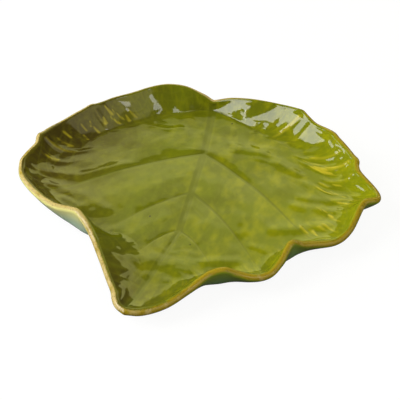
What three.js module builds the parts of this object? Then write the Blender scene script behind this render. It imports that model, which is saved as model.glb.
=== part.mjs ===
// Leaf-shaped trinket dish in glazed earthenware: a pressed clay leaf on a luted foot ring,
// with a green glaze inside, an amber glaze on the lip and a blue-green glaze underneath.
// Millimetres, +Z up. The origin is on the table under the middle of the dish, the leaf's tip
// points to -Y and the notch where its stem would be is at +Y.
import * as THREE from "three";

// Overall size of the leaf, over the clay of its lip
const LEAF_WIDTH = 200;
const LEAF_LENGTH = 184;

// Clay and glaze
const FLOOR_CLAY = 4.6;
const LIP_CLAY = 3.4;
const BACK_LIP_CLAY = 2.2; // the lip is drawn thinner round the back of both lobes
const GLAZE = 0.4;

// Foot ring luted under the floor, and the bare clay wiped clean beside it
const FOOT_HEIGHT = 3;
const FOOT_RADIUS = 42;
const FOOT_WIDTH = 6;
const FOOT_CHAMFER = 0.8;
const GLAZE_SETBACK = 1;

// Form of the blade
const WALL_HEIGHT = 16; // the lip's highest point above the clay of the floor
const WALL_RUN = 20; // how far the wall leans out at the side lobes
const BLADE_SWELL = 1.5; // how far the widest panel of the blade swells between its veins
const VEIN_BOW = 6; // how far the ribs arch towards the notch
const WALL_BEND = 0.68; // share of the wall's run that its curve spends leaving the floor
const BACK_WALL_BEND = 0.2; // the same round the back, where the wall stands up sharply
const CREASE_RADIUS = 0.8; // the tightest curve between the floor and the wall
const EDGE_SMOOTHING = 0.07; // share of one side's margin, each way, that shapes the floor's edge

// Places on the leaf are [across, along] in percent of half the width and half the length.
const MIDRIB_HUB = [-5.5, 51];
const MIDRIB_END = [-1.5, -25];
const FOOT_CENTRE = [-4, 17];

// The margin of each half, from the notch to the tip: [across, along], then the rise of the lip
// above the floor and the run of the wall out to the lip, in percent of WALL_HEIGHT and WALL_RUN.
const RIGHT_MARGIN = [
  [-10.5, 98, 44, 12],
  [0, 99, 66, 28],
  [14, 97.5, 81, 52],
  [30, 96.5, 84, 75],
  [45, 92, 88, 92],
  [55.5, 82.5, 78, 100],
  [66, 74.5, 81, 105],
  [82.5, 53, 75, 102],
  [86, 43, 66, 90],
  [99.5, 22.5, 62, 110],
  [93, 13.5, 72, 100],
  [88, -7, 38, 100],
  [82.5, -15, 28, 100],
  [68.5, -25, 44, 75],
  [61, -32.5, 72, 55],
  [57, -44.5, 44, 65],
  [53, -52.5, 31, 65],
  [46.5, -56.5, 31, 65],
  [38.5, -58.5, 44, 60],
  [32.5, -61, 62, 55],
  [25, -65, 56, 70],
  [15, -78, 38, 110],
  [6, -90, 28, 145],
  [-4, -97, 28, 170],
  [-10.5, -100, 31, 180],
];
const LEFT_MARGIN = [
  [-10.5, 98, 44, 12],
  [-16, 98.5, 62, 18],
  [-27, 99, 88, 38],
  [-38.5, 96.5, 100, 53],
  [-49, 91, 97, 62],
  [-60, 80.5, 91, 68],
  [-70.5, 72.5, 88, 74],
  [-77.5, 62, 94, 70],
  [-88.5, 47.5, 78, 70],
  [-97, 26, 88, 85],
  [-97, 17.5, 78, 90],
  [-100, 2.5, 72, 100],
  [-97.5, -8.5, 66, 100],
  [-84.5, -22.5, 62, 90],
  [-69.5, -34, 75, 70],
  [-55, -40, 94, 55],
  [-48, -45, 84, 60],
  [-41.5, -53, 69, 75],
  [-37, -60, 59, 90],
  [-32.5, -67.5, 53, 100],
  [-28, -75, 50, 110],
  [-23.5, -82, 44, 125],
  [-19, -89, 41, 145],
  [-13.5, -97.5, 34, 170],
  [-10.5, -100, 31, 180],
];

// The points of each margin between which the back wall eases into the side wall.
const RIGHT_EASING = { from: 3, to: 6.5 };
const LEFT_EASING = { from: 6, to: 10.5 };

// The blade lies in panels between its veins. Each panel's front vein ends at this point of both
// margins and leaves the midrib this far along; the panel swells by this percentage of BLADE_SWELL.
const PANELS = [
  { ends: 12.5, along: MIDRIB_HUB[1], swell: 100 },
  { ends: 16, along: 11, swell: 90 },
  { ends: 19, along: MIDRIB_END[1], swell: 75 },
  { ends: 24, along: MIDRIB_END[1], swell: 20 },
];

// How finely the surfaces are faceted
const STEPS_PER_SPAN = 2;
const FLOOR_ROWS = 5;
const WALL_ROWS = 5;
const LIP_ROWS = 4;
const BASE_ROWS = 2;
const FOOT_FACETS = 48;

const spans = RIGHT_MARGIN.length - 1;
const stations = spans * STEPS_PER_SPAN;
const floorTop = FOOT_HEIGHT + FLOOR_CLAY;
const up = new THREE.Vector3(0, 0, 1);

const place = ([across, along]) =>
  new THREE.Vector3((across / 100) * (LEAF_WIDTH / 2), (along / 100) * (LEAF_LENGTH / 2), 0);

// One half of the margin as two curves, its plan and its rise and run, and where its back ends.
function marginOf(points, easing) {
  const plan = new THREE.CatmullRomCurve3(points.map(place));
  const lift = new THREE.SplineCurve(
    points.map(([, , rise, run]) => new THREE.Vector2((rise / 100) * WALL_HEIGHT, (run / 100) * WALL_RUN)),
  );
  return { plan, lift, easing };
}

// The floor's edge follows the margin without its ruffles, so it takes the mean of a stretch of it.
function smoothPlan(plan, share) {
  const reach = Math.min(EDGE_SMOOTHING, share, 1 - share);
  const mean = new THREE.Vector3();
  const samples = 5;
  for (let k = 0; k < samples; k++) {
    mean.add(plan.getPoint(share + reach * ((2 * k) / (samples - 1) - 1)));
  }
  return mean.divideScalar(samples);
}

// Where the rib of a station leaves the midrib, and how far the blade swells along it.
// The ribs behind the first side veins fan out from the hub, and those before the last from its end.
function ribRoot(station) {
  const position = station / STEPS_PER_SPAN;
  const index = PANELS.findIndex((panel) => panel.ends >= position);
  const panel = PANELS[index];
  const before = index > 0 ? PANELS[index - 1] : { ends: 0, along: MIDRIB_HUB[1] };
  const between = (position - before.ends) / (panel.ends - before.ends);
  const along = THREE.MathUtils.lerp(before.along, panel.along, between);
  const share = (MIDRIB_HUB[1] - along) / (MIDRIB_HUB[1] - MIDRIB_END[1]);
  const root = place(MIDRIB_HUB).lerp(place(MIDRIB_END), share);
  return { root, swell: (panel.swell / 100) * BLADE_SWELL * Math.sin(Math.PI * between) };
}

// A rib of the blade's upper clay face: across the floor from the midrib, then up the wall to the lip.
function ribOf(margin, station) {
  const share = station / stations;
  const { root, swell } = ribRoot(station);
  const [rise, run] = margin.lift.getPoint(share).toArray();
  const smooth = smoothPlan(margin.plan, share);
  const inward = root.clone().sub(smooth).normalize();
  const edge = smooth.clone().addScaledVector(inward, run);
  const { from, to } = margin.easing;
  const towardsSide = THREE.MathUtils.smoothstep(station / STEPS_PER_SPAN, from, to);
  const lip = THREE.MathUtils.lerp(BACK_LIP_CLAY, LIP_CLAY, towardsSide);
  const outer = margin.plan.getPoint(share);
  const crest = outer.clone().addScaledVector(root.clone().sub(outer).normalize(), lip / 2);
  const creaseBend = Math.sqrt((rise * CREASE_RADIUS) / 2) / edge.distanceTo(crest);
  const bend = Math.max(THREE.MathUtils.lerp(BACK_WALL_BEND, WALL_BEND, towardsSide), creaseBend);

  const points = [];
  for (let row = 0; row <= FLOOR_ROWS; row++) {
    const across = row / FLOOR_ROWS;
    const arch = 4 * across * (1 - across);
    const point = root.clone().lerp(edge, across);
    point.y += VEIN_BOW * arch * Math.abs(inward.x);
    point.z = floorTop + swell * arch;
    points.push(point);
  }
  const wall = new THREE.QuadraticBezierCurve3(
    edge.clone().setZ(floorTop),
    edge.clone().lerp(crest, bend).setZ(floorTop),
    crest.clone().setZ(floorTop + rise),
  );
  for (let row = 1; row <= WALL_ROWS; row++) {
    points.push(wall.getPoint(row / WALL_ROWS));
  }
  return points.map((point) => clayPoint(point, lip));
}

// A point of the clay, with the lip's thickness on its rib and the direction that its glaze builds up in.
const clayPoint = (clay, lip) => ({ clay, lip, out: new THREE.Vector3() });

// Loops of points round the leaf, from the midrib to the crest of the lip.
function upperRings() {
  const right = marginOf(RIGHT_MARGIN, RIGHT_EASING);
  const left = marginOf(LEFT_MARGIN, LEFT_EASING);
  const ribs = [];
  for (let i = 0; i <= stations; i++) ribs.push(ribOf(right, i));
  for (let i = stations - 1; i > 0; i--) ribs.push(ribOf(left, i));
  const rings = ribs[0].map((_, row) => ribs.map((rib) => rib[row]));

  // The two halves share the points of the midrib, and the ribs of each fan share its end.
  const firstVein = PANELS.at(0).ends * STEPS_PER_SPAN;
  const lastVein = PANELS.at(-2).ends * STEPS_PER_SPAN;
  const roots = rings[0].slice(0, stations + 1);
  rings[0] = rings[0].map((_, i) => {
    const station = i <= stations ? i : 2 * stations - i;
    return roots[THREE.MathUtils.clamp(station, firstVein, lastVein)];
  });
  return rings;
}

// The two triangles of each step between neighbouring loops, facing up when they run outwards.
function band(inner, outer, flipped = false) {
  const triangles = [];
  inner.forEach((a, i) => {
    const b = inner[(i + 1) % inner.length];
    const c = outer[(i + 1) % outer.length];
    const d = outer[i];
    triangles.push(...(flipped ? [[a, c, b], [a, d, c]] : [[a, b, c], [a, c, d]]));
  });
  return triangles.filter(([a, b, c]) => a !== b && b !== c && c !== a);
}

function bands(rings, flipped = false) {
  return rings.slice(1).flatMap((ring, i) => band(rings[i], ring, flipped));
}

// Gives every point of the upper face the mean normal of the facets round it.
function setNormals(rings) {
  for (const corners of bands(rings)) {
    const [a, b, c] = corners.map((corner) => corner.clay);
    const normal = b.clone().sub(a).cross(c.clone().sub(a));
    corners.forEach((corner) => corner.out.add(normal));
  }
  rings.flat().forEach((corner) => corner.out.normalize());
}

// The round of the lip, from its crest to its lower side.
function lipRings(crestRing, innerRing) {
  const rings = [];
  for (let row = 1; row <= LIP_ROWS; row++) {
    const turn = (Math.PI * row) / LIP_ROWS;
    rings.push(
      crestRing.map((crest, i) => {
        const outward = crest.clay.clone().sub(innerRing[i].clay);
        outward.addScaledVector(crest.out, -outward.dot(crest.out)).normalize();
        const out = crest.out.clone().multiplyScalar(Math.cos(turn));
        out.addScaledVector(outward, Math.sin(turn));
        const centre = crest.clay.clone().addScaledVector(crest.out, -crest.lip / 2);
        return { clay: centre.addScaledVector(out, crest.lip / 2), out };
      }),
    );
  }
  return rings;
}

// The underside, from below the lip down the wall and in to where the glaze stops at the foot.
function lowerRings(wallRings) {
  const rings = [];
  for (let row = WALL_ROWS - 1; row > 0; row--) {
    rings.push(
      wallRings[row].map(({ clay, lip, out }) => {
        const thick = THREE.MathUtils.lerp(FLOOR_CLAY, lip, row / WALL_ROWS);
        const below = clay.clone().addScaledVector(out, -thick);
        below.z = Math.max(below.z, FOOT_HEIGHT);
        return { clay: below, out: out.clone().negate() };
      }),
    );
  }
  const footCentre = place(FOOT_CENTRE).setZ(FOOT_HEIGHT);
  const down = up.clone().negate();
  for (let row = 0; row <= BASE_ROWS; row++) {
    rings.push(
      wallRings[0].map(({ clay }) => {
        const outer = clay.clone().setZ(FOOT_HEIGHT);
        const inward = outer.clone().sub(footCentre).setLength(FOOT_RADIUS + GLAZE_SETBACK);
        return { clay: outer.lerp(inward.add(footCentre), row / BASE_ROWS), out: down };
      }),
    );
  }
  return rings;
}

function meshOf(name, corners, material) {
  const geometry = new THREE.BufferGeometry().setFromPoints(corners);
  geometry.computeVertexNormals();
  const mesh = new THREE.Mesh(geometry, material);
  mesh.name = name;
  return mesh;
}

const clayCorners = (triangles) => triangles.flat().map((corner) => corner.clay);

// A coat of glaze over a run of rings: its surface, the clay under it and the edges between them.
function glazeCoat(name, rings, material, { closedAtStart = false } = {}) {
  const skinRings = rings.map((ring) => ring.map((corner) => corner.skin));
  const clayRings = rings.map((ring) => ring.map((corner) => corner.clay));
  const triangles = [...bands(skinRings), ...bands(clayRings, true)];
  triangles.push(...band(skinRings.at(-1), clayRings.at(-1)));
  if (!closedAtStart) triangles.push(...band(skinRings[0], clayRings[0], true));
  return meshOf(name, triangles.flat(), material);
}

// The pressed leaf: every ring from the midrib over the lip to the foot, closed by a flat base.
function leafBody(rings, material) {
  const triangles = bands(rings);
  const middle = clayPoint(place(FOOT_CENTRE).setZ(FOOT_HEIGHT));
  const base = rings.at(-1);
  base.forEach((corner, i) => triangles.push([corner, base[(i + 1) % base.length], middle]));
  return meshOf("leaf_body", clayCorners(triangles), material);
}

function footRing(material) {
  const inner = FOOT_RADIUS - FOOT_WIDTH;
  const profile = [
    [inner, FOOT_HEIGHT],
    [inner, FOOT_CHAMFER],
    [inner + FOOT_CHAMFER, 0],
    [FOOT_RADIUS - FOOT_CHAMFER, 0],
    [FOOT_RADIUS, FOOT_CHAMFER],
    [FOOT_RADIUS, FOOT_HEIGHT],
    [inner, FOOT_HEIGHT],
  ].map(([x, y]) => new THREE.Vector2(x, y));
  const geometry = new THREE.LatheGeometry(profile, FOOT_FACETS).rotateX(Math.PI / 2);
  const mesh = new THREE.Mesh(geometry, material);
  mesh.name = "foot_ring";
  mesh.position.copy(place(FOOT_CENTRE));
  return mesh;
}

// The glaze in the recess inside the foot ring.
function baseGlaze(material) {
  const radius = FOOT_RADIUS - FOOT_WIDTH - GLAZE_SETBACK;
  const geometry = new THREE.CylinderGeometry(radius, radius, GLAZE, FOOT_FACETS).rotateX(Math.PI / 2);
  const mesh = new THREE.Mesh(geometry, material);
  mesh.name = "base_glaze";
  mesh.position.copy(place(FOOT_CENTRE)).setZ(FOOT_HEIGHT - GLAZE / 2);
  return mesh;
}

const ceramic = (color, roughness) => new THREE.MeshStandardMaterial({ color, roughness, metalness: 0 });
const clay = ceramic(0xd9c6a3, 0.85);
const greenGlaze = ceramic(0x7d8a1e, 0.12);
const amberGlaze = ceramic(0xa9832f, 0.25);
const blueGreenGlaze = ceramic(0x84a07c, 0.18);

const upper = upperRings();
setNormals(upper);
const crestRow = FLOOR_ROWS + WALL_ROWS;
const lip = lipRings(upper[crestRow], upper[crestRow - 1]);
const lower = lowerRings(upper.slice(FLOOR_ROWS));
const allRings = [...upper, ...lip, ...lower];
for (const corner of allRings.flat()) {
  corner.skin = corner.clay.clone().addScaledVector(corner.out, GLAZE);
}
const underLipRow = crestRow + LIP_ROWS;

const dish = new THREE.Group();
dish.add(
  leafBody(allRings, clay),
  footRing(clay),
  glazeCoat("inner_glaze", upper, greenGlaze, { closedAtStart: true }),
  glazeCoat("lip_glaze", allRings.slice(crestRow, underLipRow + 1), amberGlaze),
  glazeCoat("outer_glaze", allRings.slice(underLipRow), blueGreenGlaze),
  baseGlaze(blueGreenGlaze),
);

// The middle of the dish, seen from above, goes over the origin.
const middle = new THREE.Box3().setFromObject(dish).getCenter(new THREE.Vector3());
dish.position.set(-middle.x, -middle.y, 0);

export default dish;
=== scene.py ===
import math

import bpy
import numpy as np
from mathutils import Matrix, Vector


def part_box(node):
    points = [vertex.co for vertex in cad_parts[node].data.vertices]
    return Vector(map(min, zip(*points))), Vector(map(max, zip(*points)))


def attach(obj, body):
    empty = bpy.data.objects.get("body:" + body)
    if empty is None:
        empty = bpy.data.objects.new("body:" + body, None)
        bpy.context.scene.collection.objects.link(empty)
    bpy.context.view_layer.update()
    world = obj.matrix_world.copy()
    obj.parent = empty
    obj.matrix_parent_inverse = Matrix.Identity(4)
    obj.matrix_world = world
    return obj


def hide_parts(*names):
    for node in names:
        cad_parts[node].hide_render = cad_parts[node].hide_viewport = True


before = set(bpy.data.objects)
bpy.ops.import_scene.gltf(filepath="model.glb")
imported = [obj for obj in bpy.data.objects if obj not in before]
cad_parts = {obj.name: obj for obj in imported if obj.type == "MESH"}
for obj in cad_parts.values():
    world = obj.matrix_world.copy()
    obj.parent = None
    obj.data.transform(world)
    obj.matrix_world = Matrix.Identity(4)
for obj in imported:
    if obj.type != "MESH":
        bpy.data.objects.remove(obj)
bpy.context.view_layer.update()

mm = 0.001  # the leaf's own sizes below are in mm

# Form of the leaf in its own axes: tip to -Y, stem notch to +Y, table at z 0.
# Places are (across, along) in percent of half the width and half the length.
leafForm = {
    "halfWidth": 100.0,
    "halfLength": 92.0,
    "floorTop": 7.6,  # clay of the floor above the table
    "footHeight": 3.0,
    "floorClay": 4.6,
    "lipClay": 3.4,
    "backLipClay": 2.2,  # the lip is thinner round the back of both lobes
    "glaze": 0.4,
    "wallHeight": 16.0,
    "wallRun": 20.0,
    "wallBend": 0.68,
    "backWallBend": 0.2,  # the back wall stands up sharply from the floor
    "creaseRadius": 0.8,  # the tightest curve between floor and wall
    "backEnds": {1: (3.0, 6.5), -1: (6.0, 10.5)},  # stations where the back eases into the sides
    "tipBend": 0.22, "tipEnds": (15.0, 16.2, 20.9, 22.2),  # sharper crease left of the tip
    "edgeSmoothing": 0.07,
    "veinBow": 6.0,
    "bladeSwell": 0.9,
    "backSlope": 0.14,  # the back panels climb towards the back wall
    "backStart": 32.0,  # from this far behind the first veins
    "backRounding": 6.0, "backDrop": 0.83,  # and ease into that slope
    "hub": (-5.5, 51),
    "end": (-1.5, -25),
    "footCentre": (-4, 17),
    "footGlazeRadius": 43.0,
}

# Margin of each half from notch to tip: across, along, lip rise and wall run, all in percent
rightMargin = [
    (-10.5, 98, 44, 12), (0, 99, 66, 28), (14, 97.5, 81, 52), (30, 96.5, 84, 75),
    (45, 92, 88, 92), (55.5, 82.5, 78, 100), (66, 74.5, 81, 105), (82.5, 53, 75, 102),
    (86, 43, 66, 90), (99.5, 22.5, 62, 110), (93, 13.5, 72, 100), (88, -7, 38, 100),
    (82.5, -15, 28, 100), (68.5, -25, 44, 75), (61, -32.5, 72, 55), (57, -44.5, 44, 65),
    (53, -52.5, 31, 65), (46.5, -56.5, 31, 65), (38.5, -58.5, 44, 60), (32.5, -61, 62, 55),
    (25, -65, 56, 70), (15, -78, 38, 110), (6, -90, 28, 145), (-4, -97.8, 28, 170),
    (-11, -99.7, 31, 180),
]
leftMargin = [
    (-10.5, 98, 44, 12), (-16, 98.5, 62, 18), (-27, 99, 88, 38), (-38.5, 96.5, 100, 53),
    (-49, 91, 97, 62), (-60, 81.2, 91, 68), (-70.5, 72.5, 88, 74), (-77.5, 62, 94, 70),
    (-88.5, 47.5, 78, 70), (-97, 26, 88, 85), (-97, 17.5, 78, 90), (-100, 2.5, 72, 100),
    (-97.5, -8.5, 66, 100), (-84.5, -22.5, 62, 90), (-69.5, -34, 75, 70), (-55, -40, 94, 55),
    (-48, -45, 84, 68), (-41.5, -53, 69, 100), (-37, -60, 59, 118), (-32.5, -67.5, 53, 122),
    (-28, -75, 50, 124), (-23.5, -82, 44, 125), (-19, -89, 41, 145), (-15.2, -96.8, 34, 170),
    (-11, -99.7, 31, 180),
]
# Teeth of the margin: side, station, how far they stand out and up, half widths towards notch and tip
teeth = [
    (1, 4.05, 0.5, 0.3, 3.5, 2.5), (1, 6.1, 0.5, 0.3, 3.5, 2.5), (1, 7.15, 0.8, 0.4, 2.8, 1.8),
    (1, 9.1, 0.4, 0.3, 3.0, 3.0), (-1, 7.0, 0.5, 0.4, 2.0, 4.0), (-1, 9.1, 0.7, 0.5, 1.8, 4.0),
    (-1, 11.1, 0.4, 0.3, 2.5, 2.5),
]
panels = [(12.5, 51, 0.4), (16, 11, 0.5), (19, -25, 0.4), (24, -25, 0.2)]  # vein's end, root, swell

meshing = {
    "steps": 12, "floorRows": 46, "wallRows": 40, "lipRows": 16, "underRows": 26, "baseRows": 14,
    "hiddenStep": 2,  # hidden clay faces keep every second row
    "crowding": 1.25,  # floor rows lie closer beside the midrib
}


def place(point):
    return np.array([point[0] / 100 * leafForm["halfWidth"], point[1] / 100 * leafForm["halfLength"]])


def splineThrough(points, where, evenSpans):
    points = np.asarray(points, float)
    first = points[0] if evenSpans else 2 * points[0] - points[1]
    last = points[-1] if evenSpans else 2 * points[-1] - points[-2]
    padded = np.vstack([first, points, last])
    span = np.clip(np.floor(where).astype(int), 0, len(points) - 2)
    share = (where - span)[:, None]
    before, start, stop, after = (padded[span + k] for k in range(4))
    if evenSpans:
        leave, arrive = (stop - before) / 2, (after - start) / 2
    else:  # spans timed by the root of their length, so the curve never loops
        lead, time, trail = (np.maximum(np.sum((b - a) ** 2, 1), 1e-9)[:, None] ** 0.25
                             for a, b in ((before, start), (start, stop), (stop, after)))
        leave = ((start - before) / lead - (stop - before) / (lead + time) + (stop - start) / time) * time
        arrive = ((stop - start) / time - (after - start) / (time + trail) + (after - stop) / trail) * time
    bow = 3 * (stop - start) - 2 * leave - arrive
    twist = 2 * (start - stop) + leave + arrive
    return start + leave * share + bow * share ** 2 + twist * share ** 3


def unit(vectors):
    return vectors / np.maximum(np.linalg.norm(vectors, axis=-1, keepdims=True), 1e-12)


# One half of the leaf: for each station, where its rib starts, meets the wall and ends at the lip
def halfRibs(side, margin, where):
    spans = len(margin) - 1
    plan = [place(point) for point in margin]
    lift = [(rise / 100 * leafForm["wallHeight"], run / 100 * leafForm["wallRun"])
            for _, _, rise, run in margin]
    outer = splineThrough(plan, where, False)
    rise, run = splineThrough(lift, where, True).T
    reach = np.minimum(leafForm["edgeSmoothing"] * spans, np.minimum(where, spans - where))
    smooth = sum(splineThrough(plan, np.clip(where + reach * k, 0, spans), False)
                 for k in (-1, -0.5, 0, 0.5, 1)) / 5
    along = np.zeros(len(where))
    swell = np.zeros(len(where))
    before, root = 0, leafForm["hub"][1]
    for ends, nextRoot, amount in panels:
        inside = (where >= before) & (where <= ends)
        between = (where[inside] - before) / (ends - before)
        along[inside] = root + (nextRoot - root) * between
        swell[inside] = amount * leafForm["bladeSwell"] * np.sin(np.pi * between)
        before, root = ends, nextRoot
    share = (leafForm["hub"][1] - along) / (leafForm["hub"][1] - leafForm["end"][1])
    roots = place(leafForm["hub"]) * (1 - share[:, None]) + place(leafForm["end"]) * share[:, None]
    inward = unit(roots - smooth)
    edge = smooth + inward * run[:, None]
    way = np.concatenate([[0], np.cumsum(np.linalg.norm(np.diff(outer, axis=0), axis=1))])
    for toothSide, at, out, up, before, after in teeth:
        if toothSide == side:
            apart = way - np.interp(at, where, way)
            tooth = np.exp(-(apart / np.where(apart < 0, before, after)) ** 2)
            outer = outer - unit(roots - outer) * (out * tooth)[:, None]
            rise = rise + up * tooth
    backStart, backStop = leafForm["backEnds"][side]
    front = np.clip((where - backStart) / (backStop - backStart), 0, 1)
    front = front * front * (3 - 2 * front)
    lip = leafForm["backLipClay"] * (1 - front) + leafForm["lipClay"] * front
    crest = outer + unit(roots - outer) * lip[:, None] / 2
    bend = leafForm["backWallBend"] * (1 - front) + leafForm["wallBend"] * front
    if side < 0:
        tipWall = np.interp(where, leafForm["tipEnds"], (0, 1, 1, 0))
        bend = bend * (1 - tipWall) + leafForm["tipBend"] * tipWall
    creaseBend = np.sqrt(rise * leafForm["creaseRadius"] / 2) / np.linalg.norm(crest - edge, axis=1)
    bend = np.maximum(bend, creaseBend)
    return {"root": roots, "edge": edge, "crest": crest, "rise": rise, "swell": swell, "lip": lip,
            "bend": bend, "turn": np.abs(inward[:, 0])}


steps = meshing["steps"]
perSide = (len(rightMargin) - 1) * steps
station = np.arange(perSide + 1) / steps
rightRibs = halfRibs(1, rightMargin, station)
leftRibs = halfRibs(-1, leftMargin, station)
ribs = {key: np.concatenate([rightRibs[key], leftRibs[key][-2:0:-1]]) for key in rightRibs}
columns = 2 * perSide
columnStation = np.concatenate([station, station[-2:0:-1]])
columnSide = np.concatenate([np.ones(perSide + 1), -np.ones(perSide - 1)])

# Upper clay face, row by row from the midrib to the crest of the lip
floorRows, wallRows = meshing["floorRows"], meshing["wallRows"]
crestRow = floorRows + wallRows
upper = np.zeros((crestRow + 1, columns, 3))
floorShare = (np.arange(floorRows + 1) / floorRows) ** meshing["crowding"]
wallShare = np.arange(wallRows + 1) / wallRows
firstVein, lastVein = int(panels[0][0] * steps), int(panels[-2][0] * steps)
for row, share in enumerate(floorShare):
    arch = 4 * share * (1 - share)
    upper[row, :, :2] = ribs["root"] * (1 - share) + ribs["edge"] * share
    upper[row, :, 1] += leafForm["veinBow"] * arch * ribs["turn"]
    upper[row, :, 2] = leafForm["floorTop"] + ribs["swell"] * arch
fromVein = np.full((floorRows + 1, columns), 1e9)
for column in (firstVein, columns - firstVein):
    for point in upper[:floorRows + 1, column, :2]:
        fromVein = np.minimum(fromVein, np.linalg.norm(upper[:floorRows + 1, :, :2] - point, axis=2))
climb = fromVein - leafForm["backStart"]
climb = (climb + np.sqrt(climb ** 2 + leafForm["backRounding"] ** 2)) / 2
climb = np.maximum(climb - leafForm["backDrop"], 0)
lift = np.where(columnStation < panels[0][0], leafForm["backSlope"] * climb, 0)
upper[:floorRows + 1, :, 2] += lift
footLift = lift[floorRows]
bend = ribs["edge"] + (ribs["crest"] - ribs["edge"]) * ribs["bend"][:, None]
for row, up in enumerate(wallShare):
    curve = (1 - up) ** 2 * ribs["edge"] + 2 * up * (1 - up) * bend + up * up * ribs["crest"]
    upper[floorRows + row, :, :2] = curve
    upper[floorRows + row, :, 2] = leafForm["floorTop"] + footLift + (ribs["rise"] - footLift) * up * up

# The two halves share the midrib's points, and each fan of ribs shares its end
foldedColumn = np.where(np.arange(columns) <= perSide, np.arange(columns), columns - np.arange(columns))
midribColumn = np.clip(foldedColumn, firstVein, lastVein)


def ringIds(rows):
    ids = np.arange(rows * columns).reshape(rows, columns)
    ids[0] = midribColumn
    return ids


def ringNormals(rings, ids):
    flat = rings.reshape(-1, 3)
    a, b = ids[:-1], np.roll(ids, -1, 1)[:-1]
    d, c = ids[1:], np.roll(ids, -1, 1)[1:]
    normals = np.zeros_like(flat)
    cross = np.cross(flat[c] - flat[a], flat[d] - flat[b])
    for corner in (a, b, c, d):
        np.add.at(normals, corner, cross)
    return unit(normals)[ids].reshape(rings.shape)


# A smooth random field: a few waves of about one length, in fixed random directions
def wavyField(points, length, seed):
    rng = np.random.default_rng(seed)
    total = np.zeros(points.shape[:-1])
    waves = 9
    for _ in range(waves):
        direction = unit(rng.normal(size=points.shape[-1]))
        direction = direction * 2 * np.pi / (length * rng.uniform(0.75, 1.5))
        total += np.cos(points @ direction + rng.uniform(0, 2 * np.pi))
    return total / math.sqrt(waves)


upperIds = ringIds(crestRow + 1)
formNormals = ringNormals(upper, upperIds)
print("leaf form:", columns, "columns,", crestRow, "rows")

# Relief that the mould pressed into the upper face: lengths in mm, the rest shares and stations
relief = {
    "veinDepth": 0.13, "veinWidth": 1.9,  # main veins at their roots, half width
    # Veins: size at the root, share of it lost by the end, and how sunk the blade is beside them
    "midrib": (1.1, 0.25, 0.2),
    "sideVeins": ((0.8, 0.6, 0.8), (0.65, 0.6, 0.32), (0.5, 0.6, 0.28)),
    "footVein": (0.5, 0.5, 0.0), "footStations": 8,  # lowest pair, at the foot of the back wall
    "flatShare": 0.9, "flatFrom": 0.34, "flatTo": 0.56,  # the first veins flatten out half way along
    "bankReach": 3.6, "bankAt": 0.24, "bankSpread": 0.12,  # and the left one has a broad bank behind it
    "pillow": 0.75, "pillowEnd": 0.9, "midribReach": 6.0,  # blade swelling up beside a vein
    "steepReach": 3.0, "broadReach": 12.0,  # steep down to the first veins, gentle elsewhere
    "ladderDepth": 0.05, "ladderSpacing": 8.5, "ladderWidth": 0.09,  # fine cross veins
    "ladderBend": 0.5, "bendLength": 22.0, "ladderClear": 1.5, "ladderEase": 4.0, "ladderPool": 0.2,
    "wave": 0.13, "waveLength": 30.0,
    "ripple": 0.05, "rippleLength": 9.0,
    "wallCalm": 0.3,  # share of the waves and ripples left on the wall
    "lobing": 0.3, "veinLobing": 0.12, "lobeLength": 7.5,  # how unevenly a swell's edge wanders
    "foldFull": 0.4, "foldEase": 0.05,  # a fold is at its full height this far up the wall
    "foldMark": 1.6, "foldShare": 0.6,  # yellow line along a fold: half width and strength
    "lipFade": 2.6,  # the relief dies away this close to the lip
    "squareFrom": -0.1, "squareTo": 0.35,  # place up the wall where relief turns square to it
    "lipWander": 0.18, "lipLength": 17.0, "underWander": 0.18, "underLength": 24.0,
}
# Pleats of the margin: side, station at the wall's foot and at the lip, height, half widths towards
# the notch and towards the tip, and how far they run out over the floor in wall lengths
pleats = [
    (1, 1.9, 2.0, 0.35, 6.0, 4.0, -0.2), (1, 3.45, 3.4, 0.25, 3.0, 2.0, 0.15),
    (1, 4.3, 4.2, 0.9, 6.0, 3.0, 0.15), (1, 5.2, 4.9, 0.3, 2.5, 2.5, 0.2),
    (1, 6.6, 6.6, 0.6, 5.0, 3.5, 0.3), (1, 7.3, 7.0, 0.8, 3.0, 2.5, 0.5),
    (1, 8.2, 8.0, 0.5, 3.0, 3.0, 0.4), (1, 9.4, 9.1, 0.5, 5.0, 4.0, 0.4),
    (1, 10.3, 10.2, 0.3, 3.5, 3.5, 0.4), (1, 11.4, 11.3, 0.3, 4.0, 3.0, 0.4),
    (1, 12.4, 12.4, 0.3, 4.0, 4.0, 0.4), (1, 14.2, 14.0, 0.5, 4.0, 4.0, 0.5),
    (1, 16.8, 16.8, 0.4, 4.0, 4.0, 0.5), (1, 19.2, 19.2, 0.5, 4.0, 4.0, 0.4),
    (1, 21.2, 21.0, 0.2, 6.0, 5.0, 0.3), (-1, 2.1, 2.0, 0.35, 6.0, 6.0, 0.0),
    (-1, 6.95, 7.05, 0.6, 3.0, 1.3, 0.2), (-1, 8.0, 8.0, -0.25, 4.0, 4.0, 0.1),
    (-1, 9.3, 9.1, 0.9, 3.0, 1.5, 0.4), (-1, 10.3, 10.2, 0.5, 3.0, 3.0, 0.5),
    (-1, 11.5, 11.1, 0.4, 2.5, 2.0, 0.3), (-1, 12.4, 12.2, 0.3, 3.0, 2.0, 0.2),
    (-1, 14.0, 13.8, 0.5, 4.0, 3.0, 0.5), (-1, 16.0, 15.6, 0.5, 4.0, 4.0, 0.4),
    (-1, 18.0, 18.0, 0.2, 5.0, 4.0, 0.3),
]
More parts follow.
